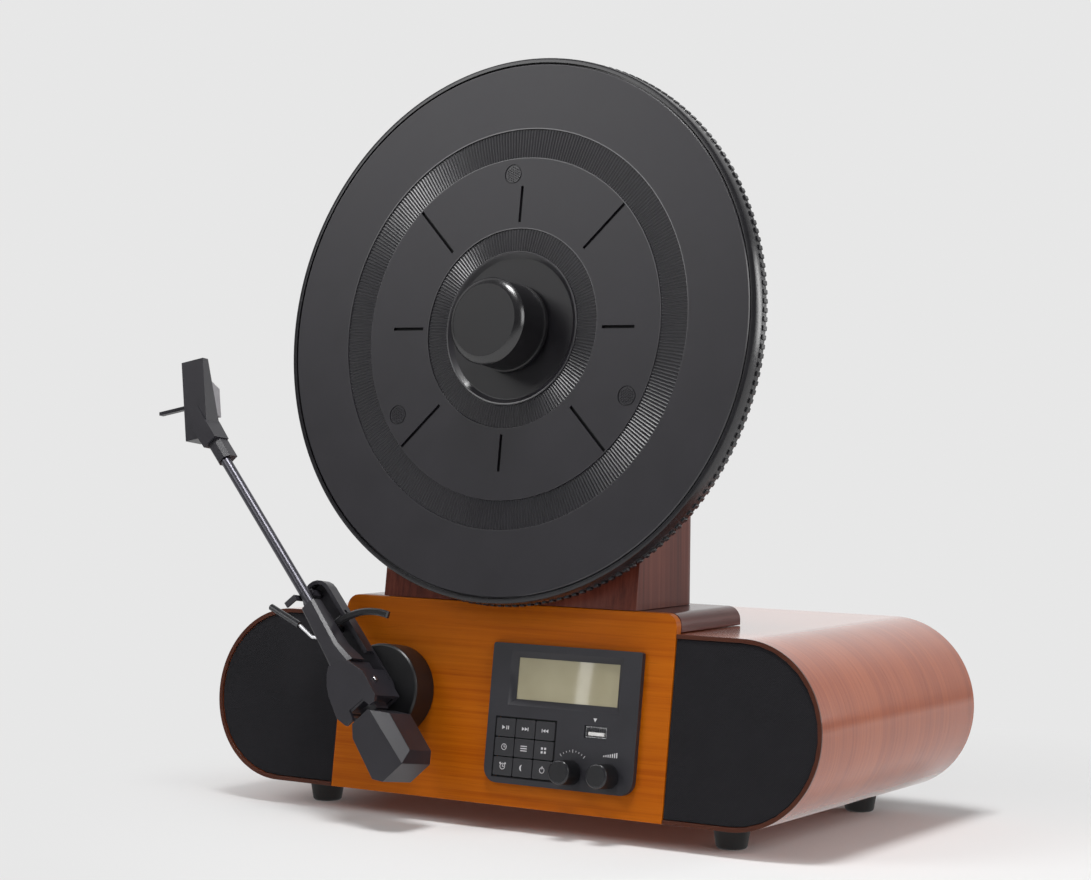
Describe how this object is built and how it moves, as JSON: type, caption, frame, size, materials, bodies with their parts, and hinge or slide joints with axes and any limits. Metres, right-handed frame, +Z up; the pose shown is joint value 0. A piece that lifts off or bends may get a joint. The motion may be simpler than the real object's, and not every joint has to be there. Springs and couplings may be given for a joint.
{
  "type": "vertical record player",
  "caption": "Record player with an upright platter on a tower, a front tonearm with counterweight, and a wooden cabinet with speakers, display, keys and knobs.",
  "frame": {"origin": "middle of the bounding box's footprint, on the floor the feet stand on", "axes": "+X to the right seen from the front, +Y to the back, +Z up"},
  "size_m": [0.4216, 0.2434, 0.4165],
  "materials": {
    "red_wood": "varnished",
    "honey_wood": "varnished",
    "dark_wood": "varnished",
    "grille_cloth": "woven",
    "fibreboard": "matte",
    "black_plastic": "satin",
    "black_rubber": "matte",
    "mat_rubber": "satin",
    "grey_plastic": "satin",
    "gunmetal": "satin",
    "platter_metal": "satin",
    "weight_metal": "satin",
    "steel": "satin",
    "brass": "satin",
    "display_glass": "gloss",
    "circuit_board": "matte"
  },
  "bodies": {
    "base": {"cabinet_shell": "red_wood", "front_panel": "honey_wood", "grille_left": "grille_cloth", "grille_right": "grille_cloth", "baffle": "fibreboard", "speaker_left": "black_plastic", "speaker_right": "black_plastic", "back_panel": "fibreboard", "dc_inlet": "black_plastic", "line_out": "steel", "main_board": "circuit_board", "foot_front_left": "black_rubber", "foot_front_right": "black_rubber", "foot_rear_left": "black_rubber", "foot_rear_right": "black_rubber", "tower_plinth": "red_wood", "tower": "dark_wood", "bearing_housing": "brass", "drive_belt": "black_rubber", "motor": "steel", "control_fascia": "black_plastic", "tune_pot": "steel", "volume_pot": "steel", "lcd_window": "display_glass", "lcd_module": "black_plastic", "control_board": "circuit_board", "usb_socket": "steel", "arm_base": "black_plastic", "arm_rest_plate": "black_plastic", "arm_clip": "black_plastic"},
    "turntable": {"platter": "platter_metal", "platter_mat": "mat_rubber", "sub_platter": "black_plastic", "spindle": "steel"},
    "pulley": {"motor_pulley": "brass"},
    "clamp": {"record_clamp": "black_plastic"},
    "volume": {"volume_knob": "black_plastic"},
    "tune": {"tune_knob": "black_plastic"},
    "key_1": {"key_1": "black_plastic"},
    "key_2": {"key_2": "black_plastic"},
    "key_3": {"key_3": "black_plastic"},
    "key_4": {"key_4": "black_plastic"},
    "key_5": {"key_5": "black_plastic"},
    "key_6": {"key_6": "black_plastic"},
    "key_7": {"key_7": "black_plastic"},
    "key_8": {"key_8": "black_plastic"},
    "key_9": {"key_9": "black_plastic"},
    "yoke": {"gimbal_yoke": "black_plastic", "tilt_pin": "steel"},
    "arm": {"arm_hub": "black_plastic", "arm_carrier": "black_plastic", "arm_tube": "gunmetal", "headshell": "black_plastic", "cartridge": "grey_plastic", "stylus": "steel"},
    "weight": {"counterweight": "weight_metal"},
    "lever": {"cue_lever": "steel", "cue_lever_grip": "black_rubber"},
    "lift": {"lift_arc": "black_plastic"}
  },
  "joints": [
    {"name": "platter_spin", "type": "hinge", "parent": "base", "child": "turntable", "pos_m": [0.01657, -0.04313, 0.26644], "axis": [0, -0.9912, 0.1323], "continuous": true},
    {"name": "motor_pulley_spin", "type": "hinge", "parent": "base", "child": "pulley", "pos_m": [0.06657, -0.05239, 0.19705], "axis": [0, -0.9912, 0.1323], "continuous": true},
    {"name": "clamp_pull", "type": "slide", "parent": "turntable", "child": "clamp", "axis": [0, -0.9912, 0.1323], "range_m": [0, 0.03]},
    {"name": "volume_turn", "type": "hinge", "parent": "base", "child": "volume", "pos_m": [0.09157, -0.07405, 0.03469], "axis": [0, -0.9912, 0.1323], "range_deg": [0, 280]},
    {"name": "tune_turn", "type": "hinge", "parent": "base", "child": "tune", "pos_m": [0.06847, -0.07405, 0.03469], "axis": [0, -0.9912, 0.1323], "continuous": true},
    {"name": "key_1_press", "type": "slide", "parent": "base", "child": "key_1", "axis": [0, 0.9912, -0.1323], "range_m": [0, 0.0008], "stiffness_N_per_m": 300},
    {"name": "key_2_press", "type": "slide", "parent": "base", "child": "key_2", "axis": [0, 0.9912, -0.1323], "range_m": [0, 0.0008], "stiffness_N_per_m": 300},
    {"name": "key_3_press", "type": "slide", "parent": "base", "child": "key_3", "axis": [0, 0.9912, -0.1323], "range_m": [0, 0.0008], "stiffness_N_per_m": 300},
    {"name": "key_4_press", "type": "slide", "parent": "base", "child": "key_4", "axis": [0, 0.9912, -0.1323], "range_m": [0, 0.0008], "stiffness_N_per_m": 300},
    {"name": "key_5_press", "type": "slide", "parent": "base", "child": "key_5", "axis": [0, 0.9912, -0.1323], "range_m": [0, 0.0008], "stiffness_N_per_m": 300},
    {"name": "key_6_press", "type": "slide", "parent": "base", "child": "key_6", "axis": [0, 0.9912, -0.1323], "range_m": [0, 0.0008], "stiffness_N_per_m": 300},
    {"name": "key_7_press", "type": "slide", "parent": "base", "child": "key_7", "axis": [0, 0.9912, -0.1323], "range_m": [0, 0.0008], "stiffness_N_per_m": 300},
    {"name": "key_8_press", "type": "slide", "parent": "base", "child": "key_8", "axis": [0, 0.9912, -0.1323], "range_m": [0, 0.0008], "stiffness_N_per_m": 300},
    {"name": "key_9_press", "type": "slide", "parent": "base", "child": "key_9", "axis": [0, 0.9912, -0.1323], "range_m": [0, 0.0008], "stiffness_N_per_m": 300},
    {"name": "arm_swing", "type": "hinge", "parent": "base", "child": "yoke", "pos_m": [-0.05043, -0.06945, 0.06919], "axis": [0, 0.9912, -0.1323], "range_deg": [0, 46]},
    {"name": "arm_lift", "type": "hinge", "parent": "yoke", "child": "arm", "pos_m": [-0.04908, -0.10285, 0.07215], "axis": [0.7396, 0.089, 0.6671], "range_deg": [0, 2.64]},
    {"name": "cue_lever_turn", "type": "hinge", "parent": "base", "child": "lever", "pos_m": [-0.08138, -0.08665, 0.10581], "axis": [0.7396, 0.089, 0.6671], "range_deg": [0, 35]},
    {"name": "lift_arc_slide", "type": "slide", "parent": "base", "child": "lift", "axis": [0, -0.9912, 0.1323], "range_m": [0, 0.00201]},
    {"name": "counterweight_slide", "type": "slide", "parent": "arm", "child": "weight", "axis": [0.673, -0.0978, -0.7331], "range_m": [0, 0.008]}
  ],
  "couplings": [
    {"joint": "motor_pulley_spin", "follows": "platter_spin", "ratio": 10},
    {"joint": "arm_lift", "follows": "cue_lever_turn", "ratio": 0.07514},
    {"joint": "lift_arc_slide", "follows": "cue_lever_turn", "m_per_rad": 0.003274}
  ]
}
